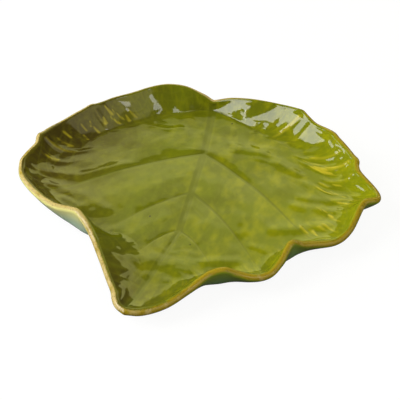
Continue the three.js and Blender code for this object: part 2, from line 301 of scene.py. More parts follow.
# Low swells across the blade: from and to in mm, height and half width
swells = [
    ((13, 56), (29, 54), 0.7, 4.6), ((38, 48), (51, 41), 0.7, 3.8), ((56, 34), (61, 32), 0.25, 2.2),
    ((58, 20.3), (74, 20.5), 0.42, 2.8), ((74, 20.5), (82, 23), 0.38, 2.6),
    ((54, 12.5), (80, 12.5), 0.48, 3.2), ((48, -9.5), (77, 0.5), 0.6, 3.6),
    ((39, -25), (45, -26.5), 0.36, 2.4), ((1, -49.5), (33, -39), 0.4, 2.8),
    ((-22, -50), (10, -51), 0.85, 6.5), ((-9, -59.5), (2, -62.5), 0.3, 3.0),
    ((-91, 7), (-70, 8), 0.62, 3.4), ((-70, 8), (-47, 25.5), 0.55, 3.4),
    ((-84, -4), (-64, -7.5), 0.65, 3.4), ((-64, -7.5), (-46, -16), 0.68, 3.6),
    ((-72, -13.5), (-52, -19.5), 0.46, 2.6), ((-43, 64.5), (-33, 63.2), 0.3, 2.2),
    ((-33, 63.2), (-25, 67), 0.3, 2.2),
]
# Small swellings: side, station, place up the wall from its foot to the lip, height and radius
swellings = [(1, 5.6, 0.72, 0.4, 6.5), (1, 6.25, 0.45, 0.8, 6.0), (-1, 4.6, -0.35, 0.3, 2.2)]


def veinLines():
    middle = upper[0, firstVein:lastVein + 1, :2]
    lines = [(np.vstack([upper[::-1, 0, :2], middle, upper[:, perSide, :2]]), *relief["midrib"], None)]
    for (ends, _, _), vein in zip(panels, relief["sideVeins"]):
        for column in (int(ends * steps), columns - int(ends * steps)):
            lines.append((upper[:, column, :2], *vein, ends))
    footColumns = relief["footStations"] * steps
    for line in (upper[floorRows, :footColumns, :2], upper[floorRows, :-footColumns:-1, :2]):
        lines.append((line, *relief["footVein"], None))
    return lines


def ease(low, high, values):
    share = np.clip((values - low) / (high - low), 0, 1)
    return share * share * (3 - 2 * share)


# How deep in a vein each point lies, how far it is from the nearest one, and how sunk the blade is there
def veinField(points):
    sampleStep, chunk = 0.6, 6000  # mm along a vein, and points measured at a time
    flat = points.reshape(-1, 2)
    closeness = np.zeros(len(flat))
    valley = np.zeros(len(flat))
    nearest = np.full(len(flat), 1e9)
    flatStation = np.broadcast_to(columnStation, points.shape[:-1]).ravel()
    flatSide = np.broadcast_to(columnSide, points.shape[:-1]).ravel()
    uneven = np.exp(relief["veinLobing"] * wavyField(flat, relief["lobeLength"], 7))
    for line, size, fade, sunk, ends in veinLines():
        firstPair = ends == panels[0][0]
        reach = np.full(len(flat), relief["midribReach"])
        if ends is not None:
            behind = relief["steepReach" if firstPair else "broadReach"]
            reach = np.where(flatStation < ends, behind, relief["broadReach"])
        length = np.concatenate([[0], np.cumsum(np.linalg.norm(np.diff(line, axis=0), axis=1))])
        samples = np.arange(0, length[-1], sampleStep)
        path = np.column_stack([np.interp(samples, length, line[:, k]) for k in (0, 1)])
        for start in range(0, len(flat), chunk):
            part = slice(start, start + chunk)
            gap = np.sqrt(((flat[part, None, :] - path[None]) ** 2).sum(-1))
            best = gap.argmin(1)
            distance = gap[np.arange(len(best)), best]
            share = samples[best] / length[-1]
            taper = size * (1 - fade * share)
            groove = taper * np.exp(-(distance / (relief["veinWidth"] * taper)) ** 2)
            closeness[part] = np.maximum(closeness[part], groove)
            nearest[part] = np.minimum(nearest[part], distance)
            deep, wide = sunk, reach[part]
            if firstPair:
                deep = sunk * (1 - relief["flatShare"] * ease(relief["flatFrom"], relief["flatTo"], share))
                bank = relief["bankReach"] * np.exp(-((share - relief["bankAt"]) / relief["bankSpread"]) ** 2)
                wide = wide + np.where((flatSide[part] < 0) & (flatStation[part] < ends), bank, 0)
            dip = deep * np.exp(-(distance / wide) ** 2 * uneven[part])
            valley[part] = np.maximum(valley[part], dip)
    return [values.reshape(points.shape[:-1]) for values in (closeness, nearest, valley)]


veinNear, veinGap, veinValley = veinField(upper[..., :2])
crestStep = np.linalg.norm(np.diff(upper[crestRow], axis=0, append=upper[crestRow][:1]), axis=1)
arcRight = np.concatenate([[0], np.cumsum(crestStep[:perSide])])
arcLeft = np.concatenate([[0], np.cumsum(crestStep[:perSide - 1:-1])])
arcLeft *= arcRight[-1] / arcLeft[-1]
arc = np.concatenate([arcRight, arcLeft[-2:0:-1]])
ribStep = np.linalg.norm(np.diff(upper, axis=0), axis=2)
ribLength = np.concatenate([np.zeros((1, columns)), np.cumsum(ribStep, axis=0)])
wallLength = ribLength[-1] - ribLength[floorRows]
# Place up the wall: 0 at its foot, 1 at the lip and below 0 on the floor
upWall = (ribLength - ribLength[floorRows]) / wallLength
lipFade = ease(0.0, relief["lipFade"], ribLength[-1] - ribLength)


# Way along the margin from a station, on one side only
def fromStation(side, at):
    arcs = arcRight if side > 0 else arcLeft
    farAway = 1e3
    return np.where(columnSide[None] == side, arc[None] - np.interp(at, station, arcs), farAway)


height = -relief["veinDepth"] * veinNear
offWall = 1 - ease(0.0, relief["pillowEnd"], upWall)
height += relief["pillow"] * (1 - veinValley) * offWall
calm = relief["wallCalm"] + (1 - relief["wallCalm"]) * offWall
height += relief["wave"] * wavyField(upper[..., :2], relief["waveLength"], 3) * calm
height += relief["ripple"] * wavyField(upper, relief["rippleLength"], 4) * calm
ladder = ribLength / relief["ladderSpacing"]
ladder += relief["ladderBend"] * wavyField(upper[..., :2], relief["bendLength"], 5)
ladderGroove = np.exp(-((ladder - np.round(ladder)) / relief["ladderWidth"]) ** 2)
ladderGroove *= np.clip((veinGap - relief["ladderClear"]) / relief["ladderEase"], 0, 1)
height -= relief["ladderDepth"] * ladderGroove

lobed = np.exp(relief["lobing"] * wavyField(upper[..., :2], relief["lobeLength"], 6))
swelled = np.zeros_like(height)
for start, stop, amount, width in swells:
    start, stop = np.array(start), np.array(stop)
    along = np.clip((upper[..., :2] - start) @ (stop - start) / np.sum((stop - start) ** 2), 0, 1)
    apart = np.linalg.norm(upper[..., :2] - start - along[..., None] * (stop - start), axis=2)
    swelled = np.maximum(swelled, amount * np.exp(-(apart / width) ** 2 * lobed))
height += swelled

pleatMarks = np.zeros_like(height)
for side, atFoot, atLip, amount, before, after, reach in pleats:
    apart = fromStation(side, atFoot + (atLip - atFoot) * np.clip(upWall, -1.5, 1))
    fold = np.exp(-(apart / np.where(apart < 0, before, after)) ** 2)
    fold *= ease(-reach - relief["foldEase"], relief["foldFull"], upWall)
    height += amount * fold
    pleatMarks = np.maximum(pleatMarks, amount * fold * np.exp(-(apart / relief["foldMark"]) ** 2))
for side, at, up, amount, radius in swellings:
    apart = fromStation(side, np.full_like(height, at)) ** 2 + ((upWall - up) * wallLength) ** 2
    height += amount * np.exp(-apart / radius ** 2)

# Short raised strokes up the wall, broad at the foot and pointed towards the lip
strokeForm = {
    "count": 190, "seed": 11, "height": 0.42,
    "strongAt": {1: (6.5, 12.5), -1: (5.0, 10.2)}, "stray": 0.15,  # side lobes, and strength elsewhere
    "stations": (0.4, 23.0), "low": (-0.25, 0.4), "long": (0.3, 0.6),  # lowest and highest of random values
    "slant": 0.12, "width": (0.7, 1.7), "strength": (0.45, 1.0),
    "taper": (1.15, 0.25, 1.2), "foot": (-0.15, 0.1), "point": (1.05, 0.6),
    "leftLow": (0.28, 0.75), "leftHeight": 0.25, "leftMarks": 0.65,  # higher up and fainter on the left
}
rng = np.random.default_rng(strokeForm["seed"])
strokeMarks = np.zeros_like(height)
for _ in range(strokeForm["count"]):
    side, at = rng.choice([-1, 1]), rng.uniform(*strokeForm["stations"])
    low, long = rng.uniform(*strokeForm["low"]), rng.uniform(*strokeForm["long"])
    slant, width = rng.normal(0, strokeForm["slant"]), rng.uniform(*strokeForm["width"])
    strong = rng.uniform(*strokeForm["strength"])
    first, last = strokeForm["strongAt"][side]
    strong *= 1.0 if first < at < last else strokeForm["stray"]
    if side < 0:
        low = strokeForm["leftLow"][0] + strokeForm["leftLow"][1] * low
    along = (upWall - low) / long
    apart = fromStation(side, np.full_like(height, at) + slant * along)
    full, least, most = strokeForm["taper"]
    taper = width * np.clip(full - along, least, most)
    mark = np.exp(-(apart / taper) ** 2) * ease(*strokeForm["foot"], along)
    mark *= ease(*strokeForm["point"], along)
    strokeMarks = np.maximum(strokeMarks, strong * mark)
height += strokeForm["height"] * strokeMarks * np.where(columnSide > 0, 1.0, strokeForm["leftHeight"])[None]
height *= lipFade
height[0] = height[0, midribColumn]
ridge = (strokeMarks + relief["foldShare"] * pleatMarks) * lipFade
ridge *= np.where(columnSide > 0, 1.0, strokeForm["leftMarks"])[None]
pooled = np.clip(veinNear, 0, 1) + relief["ladderPool"] * ladderGroove

# Glaze burnt brown, with painted shade, on the left wall, the floor below it and the tip, by station and by
# place up the wall
burningAndShade = {
    "wallAt": 8.6, "wallSpread": 2.4, "wallFrom": -2.4, "wallTo": 0.5,
    "tipLeft": 0.6, "tipRight": 0.2, "tipFrom": 17.0, "tipTo": 21.0, "tipUp": 0.8,
}
wallBurntAndShaded = np.exp(-((columnStation - burningAndShade["wallAt"]) / burningAndShade["wallSpread"]) ** 2)
wallBurntAndShaded = np.where(columnSide < 0, wallBurntAndShaded, 0)[None]
wallBurntAndShaded = wallBurntAndShaded * ease(burningAndShade["wallFrom"], burningAndShade["wallTo"], upWall)
tipBurntAndShaded = np.where(columnSide < 0, burningAndShade["tipLeft"], burningAndShade["tipRight"])
tipBurntAndShaded = tipBurntAndShaded * ease(burningAndShade["tipFrom"], burningAndShade["tipTo"], columnStation)
burnt = np.maximum(wallBurntAndShaded, tipBurntAndShaded[None] * ease(0.0, burningAndShade["tipUp"], upWall))
print("relief: veins, panels, wall folds and strokes")

# All rings of the dish: upper face, round of the lip, and underside in to the foot.
# Relief and glaze lie straight up from the floor and turn square to the wall a third of the way up it,
# so that neighbouring points don't cross in the tight crease.
squareShare = ease(relief["squareFrom"], relief["squareTo"], upWall)[..., None]
layWay = unit(formNormals * squareShare + np.array([0.0, 0.0, 1.0]) * (1 - squareShare))
upperClay = upper + layWay * height[..., None]
crestNormals = formNormals[crestRow]
outward = upper[crestRow] - upper[crestRow - 1]
outward = unit(outward - crestNormals * np.sum(outward * crestNormals, 1)[:, None])
lipRadius = ribs["lip"] / 2
lipWander = relief["lipWander"] * wavyField(upper[crestRow], relief["lipLength"], 21)
lipCentre = upper[crestRow] - crestNormals * lipRadius[:, None]
lipClayRings, lipOut = [], []
for row in range(1, meshing["lipRows"] + 1):
    turn = math.pi * row / meshing["lipRows"]
    out = crestNormals * math.cos(turn) + outward * math.sin(turn)
    radius = lipRadius + lipWander * math.sin(turn)
    lipClayRings.append(lipCentre + out * radius[:, None])
    lipOut.append(out)

underClayRings, underOut = [], []
for k in range(1, meshing["underRows"]):
    up = 1 - k / meshing["underRows"]
    at = up * wallRows
    part = at - int(at)
    lower, higher = floorRows + int(at), floorRows + min(int(at) + 1, wallRows)
    face = upper[lower] * (1 - part) + upper[higher] * part
    normal = unit(formNormals[lower] * (1 - part) + formNormals[higher] * part)
    thick = leafForm["floorClay"] * (1 - up) + ribs["lip"] * up
    below = face - normal * thick[:, None]
    below[:, 2] = np.maximum(below[:, 2], leafForm["footHeight"])
    wander = relief["underWander"] * math.sin(math.pi * up) * wavyField(face, relief["underLength"], 8)
    below -= normal * wander[:, None]
    below[:, 2] = np.maximum(below[:, 2], leafForm["footHeight"])
    underClayRings.append(below)
    underOut.append(-normal)
footCentre = np.append(place(leafForm["footCentre"]), leafForm["footHeight"])
down = np.tile([0.0, 0.0, -1.0], (columns, 1))
outer = upper[floorRows].copy()
outer[:, 2] = leafForm["footHeight"] + footLift
inner = footCentre + unit(outer - footCentre) * leafForm["footGlazeRadius"]
for k in range(meshing["baseRows"] + 1):
    share = k / meshing["baseRows"]
    underClayRings.append(outer * (1 - share) + inner * share)
    underOut.append(down)

clayRings = np.concatenate([upperClay, np.array(lipClayRings), np.array(underClayRings)])
outRings = np.concatenate([layWay, np.array(lipOut), np.array(underOut)])
skinRings = clayRings + outRings * leafForm["glaze"]
skinNormals = ringNormals(skinRings, ringIds(len(clayRings)))
underLipRow = crestRow + meshing["lipRows"]
lastRow = len(clayRings) - 1

# Way from the outer edge of the lip, inside positive, in the width of the lip's amber there
amberForm = {
    "inside": 0.95, "thickInside": 0.75, "outside": 1.5,  # mm, and more inside a thick lip
    "narrowAt": 12.0, "narrowSpread": 3.5, "narrowShare": 0.45,  # narrower round the left lobe
}
skinStep = np.linalg.norm(np.diff(skinRings, axis=0), axis=2)
skinWay = np.concatenate([np.zeros((1, columns)), np.cumsum(skinStep, axis=0)])
lipWay = skinWay[crestRow + meshing["lipRows"] // 2] - skinWay
thickLip = (ribs["lip"] - leafForm["backLipClay"]) / (leafForm["lipClay"] - leafForm["backLipClay"])
narrowed = np.exp(-((columnStation - amberForm["narrowAt"]) / amberForm["narrowSpread"]) ** 2)
amberWidth = 1 - amberForm["narrowShare"] * np.where(columnSide < 0, narrowed, 0)
amberInside = (amberForm["inside"] + amberForm["thickInside"] * thickLip) * amberWidth
amberOutside = amberForm["outside"] * amberWidth

# The leaf's axes go to the row frame by where the foot ring stands
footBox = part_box("foot_ring")
frameShift = np.zeros(3)
for k in (0, 1):
    frameShift[k] = (footBox[0][k] + footBox[1][k]) / 2 / mm - footCentre[k]

# The tip slopes up so gently that its glaze is the floor's, from one station to another on each side
tipGlaze = {"drop": 1.5, "left": (16.5, 19.0), "right": (20.0, 22.5)}
leftTip, rightTip = (ease(*tipGlaze[key], columnStation) for key in ("left", "right"))
tipShare = np.where(columnSide < 0, leftTip, rightTip)
upperData = {
    "vein": pooled, "ridge": ridge, "burnt": burnt,
    "upWall": np.clip(upWall, -1, 1) - tipGlaze["drop"] * tipShare,
}
ringData = {"lipWay": lipWay / np.where(lipWay > 0, amberInside, amberOutside)}
for key, values in upperData.items():
    ringData[key] = np.zeros(skinRings.shape[:2])
    ringData[key][:crestRow + 1] = values
leafCoord = np.stack([np.broadcast_to(arc, lipWay.shape), skinWay, skinRings[..., 0]], -1) * mm


def newObject(name, content):
    made = bpy.data.objects.new(name, content)
    bpy.context.scene.collection.objects.link(made)
    return made


# A closed piece from loops of points: quads between neighbouring loops, given outwards.
# A ring has a name, its points, its row in the dish and the sign of its normals.
def ringMesh(name, rings, loops, normals=None, data=None, coord=None, centre=None):
    ids = {}
    vertices, faces, kept = [], [], []
    for ring, points, row, sign in rings:
        ids[ring] = []
        shared = {}
        for column in range(columns):
            key = midribColumn[column] if row == 0 else column
            if key not in shared:
                shared[key] = len(vertices)
                vertices.append(tuple((points[column] + frameShift) * mm))
                kept.append((row, column, sign))
            ids[ring].append(shared[key])
    for first, second, flipped in loops:
        one, two = ids[first], ids[second]
        for column in range(columns):
            after = (column + 1) % columns
            corners = [one[column], one[after], two[after], two[column]]
            corners = [corner for k, corner in enumerate(corners) if corner != corners[k - 1]]
            if len(set(corners)) > 2:
                faces.append(corners[::-1] if flipped else corners)
    if centre is not None:  # the last ring closes on one point
        last = ids[rings[-1][0]]
        for column in range(columns):
            faces.append((last[column], last[(column + 1) % columns], len(vertices)))
        vertices.append(tuple((centre + frameShift) * mm))
    mesh = bpy.data.meshes.new(name)
    mesh.from_pydata(vertices, [], faces)
    mesh.validate()
    mesh.shade_smooth()
    rows, cols, signs = np.array(kept).T
    for key, values in (data or {}).items():
        attribute = mesh.attributes.new(key, "FLOAT", "POINT")
        attribute.data.foreach_set("value", values[rows, cols].astype(np.float32))
    if coord is not None:
        attribute = mesh.attributes.new("leafCoord", "FLOAT_VECTOR", "POINT")
        attribute.data.foreach_set("vector", coord[rows, cols].astype(np.float32).ravel())
    if normals is not None:
        mesh.normals_split_custom_set_from_vertices((normals[rows, cols] * signs[:, None]).tolist())
    return newObject(name, mesh)


# A coat of glaze over rows first to last, closed by the clay face under it
def glazeCoat(name, first, last, closedAtStart=False):
    hidden = sorted({*range(first, last, meshing["hiddenStep"]), last})
    rings = [(("skin", row), skinRings[row], row, 1) for row in range(first, last + 1)]
    rings += [(("clay", row), clayRings[row], row, -1) for row in hidden]
    loops = [(("skin", row), ("skin", row + 1), False) for row in range(first, last)]
    loops += [(("clay", a), ("clay", b), True) for a, b in zip(hidden, hidden[1:])]
    loops.append((("skin", last), ("clay", last), False))
    if not closedAtStart:
        loops.append((("skin", first), ("clay", first), True))
    return ringMesh(name, rings, loops, skinNormals, ringData, leafCoord)


def leafBody():
    kept = set()
    for first, last in ((0, crestRow), (crestRow, underLipRow), (underLipRow, lastRow)):
        kept.update(range(first, last, meshing["hiddenStep"]))
        kept.add(last)
    rings = [(row, clayRings[row], row, 1) for row in sorted(kept)]
    for share in (0.75, 0.5, 0.25, 0.05):  # across the foot's recess to its middle
        rings.append((("recess", share), clayRings[-1] * share + footCentre * (1 - share), lastRow, 1))
    loops = [(a[0], b[0], False) for a, b in zip(rings, rings[1:])]
    return ringMesh("leafBody", rings, loops, centre=footCentre)


innerGlaze = glazeCoat("innerGlaze", 0, crestRow, closedAtStart=True)
lipGlaze = glazeCoat("lipGlaze", crestRow, underLipRow)
outerGlaze = glazeCoat("outerGlaze", underLipRow, lastRow)
clayBody = leafBody()
print("shells:", [(o.name, len(o.data.polygons)) for o in (innerGlaze, lipGlaze, outerGlaze, clayBody)])


# Nodes: one function adds a node with its settings, values and links
def addNode(tree, kind, values=None, links=None, **settings):
    node = tree.nodes.new(kind)
    for key, value in settings.items():
        setattr(node, key, value)
    for key, value in (values or {}).items():
        node.inputs[key].default_value = value
    for key, source in (links or {}).items():
        tree.links.new(source, node.inputs[key])
    return node


def linear(hexText):
    parts = [int(hexText[k:k + 2], 16) / 255 for k in (0, 2, 4)]
    return tuple(c / 12.92 if c <= 0.04045 else ((c + 0.055) / 1.055) ** 2.4 for c in parts) + (1.0,)


def newMaterial(name):
    material = bpy.data.materials.new(name)
    material.use_nodes = True
    tree = material.node_tree
    tree.nodes.clear()
    shader = addNode(tree, "ShaderNodeBsdfPrincipled")
    addNode(tree, "ShaderNodeOutputMaterial", links={"Surface": shader.outputs[0]})
    return material, tree, shader


# Lead glaze on buff clay, poured and dipped: glassy and wet-looking. It is thin and yellow on raised
# places, pools darker in the veins, breaks to amber over the lip and is thick and blue-green underneath.
glazeLook = {
    "leaf": "70770f", "olive": "62670e", "umber": "544918", "lime": "939b03", "sun": "b0ac08",
    "brown": "4a4014", "fringe": "929026", "pool": "565d12", "fleck": "c9b92e",
    "amber": "a38c17", "paleAmber": "cfb97a", "darkAmber": "74591c",
    # underside: yellow and blue are lightened as painted light, moss and teal darkened as painted shade
    "yellow": "e0d884", "moss": "7e8f1c", "teal": "7aa67a", "shade": "648f66",
    "blue": "c8e0c0", "deep": "a8cca8", "speck": "241c10",
    "mottle": 17 * mm, "patch": 6.0 * mm, "grain": 0.9 * mm,
    "blotch": 5.5 * mm, "blotchTurn": -0.5, "blotchStretch": 0.6,
    "streakWidth": 3.8 * mm, "streakLength": 8.0 * mm, "streakSpan": 100 / 3 * mm,
    "speckCell": 21 * mm, "speckSize": 0.55 * mm,
    "roughness": 0.045, "lipRoughness": 0.2, "ior": 1.5,
}
# What the colours follow, in the order in which it is made. A range has its source, from, to, least and
# most, a mix has its share and two sources, and the rest are sums named as Blender names them.
glazeSteps = [
    ("leafy", "range", "mottle", 0.35, 0.65, 0.0, 1.0),
    ("spotted", "range", "mottle", 0.38, 0.68, 0.0, 1.0),
    # darker and browner towards the far left and the tip: the glaze's own tone, deepened by painted shade
    ("farLeft", "range", "across", -32 * mm, -84 * mm, 0.0, 0.95),
    ("farTip", "range", "along", -32 * mm, -85 * mm, 0.0, 0.78),
    ("leftSide", "range", "across", 12 * mm, -22 * mm, 0.0, 1.0),
    ("tipLeft", "MULTIPLY", "farTip", "leftSide"),
    ("darkened", "MAXIMUM", "farLeft", "tipLeft"),
    ("farRight", "range", "across", 15 * mm, 90 * mm, 0.0, 0.5),
    ("onWall", "range", "upWall", -0.35, 0.15, 0.0, 0.6),
    ("yellowing", "mix", "onWall", "blotch", "streak"),
    ("sunFloor", "range", "across", -40 * mm, 30 * mm, 0.14, 0.4),
    ("sunMost", "MULTIPLY_ADD", "onWall", 0.22, "sunFloor"),  # more yellow on the wall
    ("sunny", "range", "yellowing", 0.44, 0.74, 0.0, "sunMost"),
    # brown of the burnt glaze, deepened by painted shade on the left wall, the floor below it and the tip
    ("browned", "range", "patch", 0.3, 0.6, 0.0, "burnt"),
    ("fringed", "range", "vein", 0.02, 0.25, 0.0, 0.2),
    ("pooled", "range", "vein", 0.12, 0.45, 0.0, 0.55),
    ("raised", "range", "ridge", 0.12, 0.75, 0.0, 0.88),
    ("paleWearAndHighlight", "MULTIPLY_ADD", "leftSide", 0.33, "patch"),  # the lip is paler on the left: a painted highlight, added to the wear in patches
    ("wornAndHighlit", "range", "paleWearAndHighlight", 0.6, 0.84, 0.0, 0.85),
    ("gritted", "range", "grain", 0.55, 0.7, 0.0, 0.65),
    ("thinned", "range", "lipWay", -11.0, -1.5, 0.0, 1.0),
    # painted light and shade under the dish: lit on the left, in shade towards the right and front
    ("sunless", "range", "across", -50 * mm, -22 * mm, 0.0, 1.0),
    ("wander", "SUBTRACT", "patch", 0.85),  # the amber's edge wanders with the patches
    ("gritty", "MULTIPLY_ADD", "grain", 0.7, "wander"),  # and is ragged with the grain
    ("lipEdge", "ADD", "gritty", "lipWay"),
    ("overLip", "range", "lipEdge", 1.3, 0.7, 0.0, 1.0),
    ("underLip", "range", "lipEdge", -0.7, -1.5, 0.0, 1.0),
    ("inLip", "SUBTRACT", 1.0, "underLip"),
    ("nearLip", "MULTIPLY", "inLip", "overLip"),
    ("dulled", "range", "nearLip", 0.0, 1.0, glazeLook["roughness"], glazeLook["lipRoughness"]),
    ("dotted", "LESS_THAN", "cell", glazeLook["speckSize"] / glazeLook["speckCell"]),
]
# Nodes for the steps that aren't sums, with the sockets that their parts go to
stepNodes = {
    "range": ("ShaderNodeMapRange", ("Value", "From Min", "From Max", "To Min", "To Max")),
    "mix": ("ShaderNodeMix", (0, 2, 3)),
}
# Each layer of colour: its name, what it lies on, its colour and its share
glazeLayers = [
    ("green", "olive", "leaf", "leafy"), ("browner", "green", "umber", "darkened"),
    ("greener", "browner", "lime", "farRight"), ("sunlit", "greener", "sun", "sunny"),
    ("toned", "sunlit", "brown", "browned"), ("edged", "toned", "fringe", "fringed"),
    ("veined", "edged", "pool", "pooled"), ("inside", "veined", "fleck", "raised"),
    # lip: pale amber where the glaze is worn in patches, and as a painted highlight on the left
    ("rubbedAndHighlit", "amber", "paleAmber", "wornAndHighlit"), ("lipAmber", "rubbedAndHighlit", "darkAmber", "gritted"),
    # underside: pale blue and yellow on the left are painted light, and teal and moss elsewhere are painted
    # shade, mixed by sunless in poured and run; the yellow by the lip is thin glaze
    ("clouded", "blue", "deep", "spotted"), ("dusky", "teal", "shade", "spotted"),
    ("poured", "clouded", "dusky", "sunless"), ("run", "yellow", "moss", "sunless"),
    ("outside", "poured", "run", "thinned"), ("topSide", "inside", "lipAmber", "overLip"),
    ("whole", "topSide", "outside", "underLip"), ("specked", "whole", "speck", "dotted"),
]


def dishGlaze(name):
    look = glazeLook
    material, tree, shader = newMaterial(name)
    where = addNode(tree, "ShaderNodeTexCoord").outputs["Object"]
    coord = addNode(tree, "ShaderNodeAttribute", attribute_name="leafCoord").outputs["Vector"]
    read = {}
    read["across"], read["along"], _ = addNode(tree, "ShaderNodeSeparateXYZ", links={"Vector": where}).outputs
    for key in ("vein", "ridge", "lipWay", "burnt", "upWall"):
        read[key] = addNode(tree, "ShaderNodeAttribute", attribute_name=key).outputs["Fac"]
    # Noises: streaks run down the wall and blotches lie along the ribs
    runs = (1 / look["streakWidth"], 1 / look["streakLength"], 1 / look["streakSpan"])
    laid = addNode(tree, "ShaderNodeMapping", {"Scale": runs}, {"Vector": coord}).outputs[0]
    slant = {"Rotation": (0, 0, look["blotchTurn"]), "Scale": (1.0, look["blotchStretch"], 1.0)}
    turned = addNode(tree, "ShaderNodeMapping", slant, {"Vector": where}).outputs[0]
    for key, vector, size, detail, roughness, distortion in (
        ("mottle", where, look["mottle"], 4.0, 0.6, 0.0), ("patch", where, look["patch"], 3.0, 0.5, 0.0),
        ("grain", where, look["grain"], 2.0, 0.6, 0.0), ("streak", laid, 1.0, 2.0, 0.5, 0.7),
        ("blotch", turned, look["blotch"], 2.0, 0.45, 0.0),
    ):
        values = {"Scale": 1 / size, "Detail": detail, "Roughness": roughness, "Distortion": distortion}
        read[key] = addNode(tree, "ShaderNodeTexNoise", values, {"Vector": vector}).outputs["Fac"]
    cells = addNode(tree, "ShaderNodeTexVoronoi", {"Scale": 1 / look["speckCell"]}, {"Vector": where})
    read["cell"] = cells.outputs["Distance"]
    for key, step, *parts in glazeSteps:
        kind, sockets = stepNodes.get(step, ("ShaderNodeMath", (0, 1, 2)))
        settings = {} if step in stepNodes else {"operation": step}
        links = {socket: read[part] for socket, part in zip(sockets, parts) if isinstance(part, str)}
        values = {socket: part for socket, part in zip(sockets, parts) if not isinstance(part, str)}
        read[key] = addNode(tree, kind, values, links, **settings).outputs[0]
    painted = {}
    for key, under, over, share in glazeLayers:
        values, links = {}, {0: read[share]}
        for socket, colour in ((6, under), (7, over)):
            if colour in painted:
                links[socket] = painted[colour]
            else:
                values[socket] = linear(look[colour])
        painted[key] = addNode(tree, "ShaderNodeMix", values, links, data_type="RGBA").outputs[2]
    tree.links.new(painted["specked"], shader.inputs["Base Color"])
    tree.links.new(read["dulled"], shader.inputs["Roughness"])
    shader.inputs["IOR"].default_value = look["ior"]
    return material


# The same blue-green glaze brushed thinly into the foot's recess, with the brush's slight clouding
recessLook = {"blue": "86a28c", "deep": "6b8d7a", "mottle": 14 * mm, "roughness": 0.08, "ior": 1.5}


def recessGlaze():
    look = recessLook
    material, tree, shader = newMaterial("blue_green_glaze_brushed")
    where = addNode(tree, "ShaderNodeTexCoord").outputs["Object"]
    clouds = {"Scale": 1 / look["mottle"], "Detail": 4.0}
    mottle = addNode(tree, "ShaderNodeTexNoise", clouds, {"Vector": where}).outputs["Fac"]
    spots = addNode(tree, "ShaderNodeMapRange", {"From Min": 0.38, "From Max": 0.68}, {"Value": mottle})
    colours = {6: linear(look["blue"]), 7: linear(look["deep"])}
    colour = addNode(tree, "ShaderNodeMix", colours, {0: spots.outputs[0]}, data_type="RGBA")
    tree.links.new(colour.outputs[2], shader.inputs["Base Color"])
    shader.inputs["Roughness"].default_value = look["roughness"]
    shader.inputs["IOR"].default_value = look["ior"]
    return material


# Bare buff earthenware: dry, finely grogged, slightly toasted
clayLook = {
    "buff": "cdb78e", "toast": "b3956a", "grog": 0.9 * mm, "cloud": 12 * mm,
    "bump": 0.4, "bumpHeight": 0.1 * mm, "roughness": 0.82,
}


def bareClayMaterial():
    look = clayLook
    material, tree, shader = newMaterial("buff_earthenware_bare")
    where = addNode(tree, "ShaderNodeTexCoord").outputs["Object"]
    cloudy = {"Scale": 1 / look["cloud"], "Detail": 4.0}
    cloud = addNode(tree, "ShaderNodeTexNoise", cloudy, {"Vector": where})
    grainy = {"Scale": 1 / look["grog"], "Detail": 2.0}
    grog = addNode(tree, "ShaderNodeTexNoise", grainy, {"Vector": where})
    colours = {6: linear(look["buff"]), 7: linear(look["toast"])}
    colour = addNode(tree, "ShaderNodeMix", colours, {0: cloud.outputs["Fac"]}, data_type="RGBA")
    rough = {"Strength": look["bump"], "Distance": look["bumpHeight"]}
    bump = addNode(tree, "ShaderNodeBump", rough, {"Height": grog.outputs["Fac"]})
    tree.links.new(colour.outputs[2], shader.inputs["Base Color"])
    tree.links.new(bump.outputs[0], shader.inputs["Normal"])
    shader.inputs["Roughness"].default_value = look["roughness"]
    return material


greenMaterial = dishGlaze("green_lead_glaze_poured")
amberMaterial = dishGlaze("amber_lead_glaze_broken")
underMaterial = dishGlaze("blue_green_lead_glaze_dipped")
recessMaterial = recessGlaze()
clayMaterial = bareClayMaterial()
print("materials: three dish glazes, recess glaze and bare clay")

# Foot ring: a rounded square bar bent round a circle, a little out of true as a luted coil is
footLook = {
    "radius": 39.0 * mm, "width": 6.0 * mm, "height": 3.0 * mm, "rounding": 0.8 * mm, "wobble": 0.25 * mm,
}
footMesh = {"around": 192, "corner": 4, "wobbleLength": 30 * mm}


